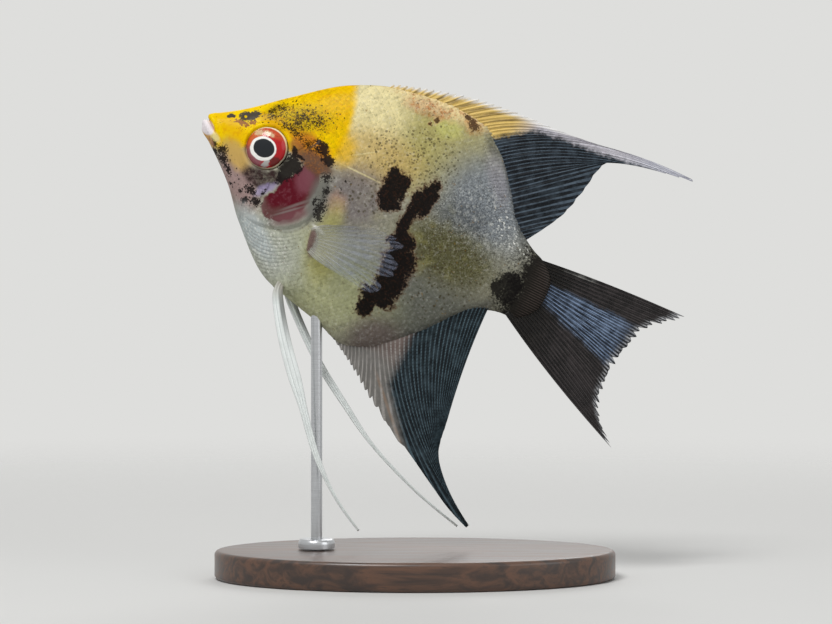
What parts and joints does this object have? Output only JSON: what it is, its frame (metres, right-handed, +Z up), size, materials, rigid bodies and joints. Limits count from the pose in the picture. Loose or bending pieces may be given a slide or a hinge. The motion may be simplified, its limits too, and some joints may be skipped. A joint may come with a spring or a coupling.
{
  "type": "freshwater angelfish display model",
  "caption": "Life-size young freshwater angelfish, yellow-headed with dark blotches and long trailing fins, swimming nose up on a rod and oval wooden base.",
  "frame": {"origin": "centre of the stand base's underside, on the surface that the model stands on", "axes": "+Z up; the fish's nose points towards -X, 26 degrees above level, and its left side faces -Y"},
  "size_m": [0.0874, 0.044, 0.0865],
  "materials": {
    "skin": "moist scaly fish skin, satin with small glints",
    "fin": "thin ribbed fin membrane, satin",
    "feeler": "pale fin ray, satin",
    "eye": "wet, glossy",
    "base_wood": "dark stained, satin lacquer",
    "rod_steel": "fine brushed"
  },
  "bodies": {
    "root": {"head": "skin", "upper_lip": "skin", "lower_jaw": "skin", "trunk": "skin", "tail_stalk": "skin", "gill_cover_left": "skin", "gill_cover_right": "skin", "eye_left": "eye", "eye_right": "eye", "dorsal_fin": "fin", "anal_fin": "fin", "tail_fin": "fin", "pectoral_fin_left": "fin", "pectoral_fin_right": "fin", "ventral_fin_left": "feeler", "ventral_fin_right": "feeler", "stand_base": "base_wood", "stand_collar": "rod_steel", "stand_rod": "rod_steel"}
  },
  "joints": []
}
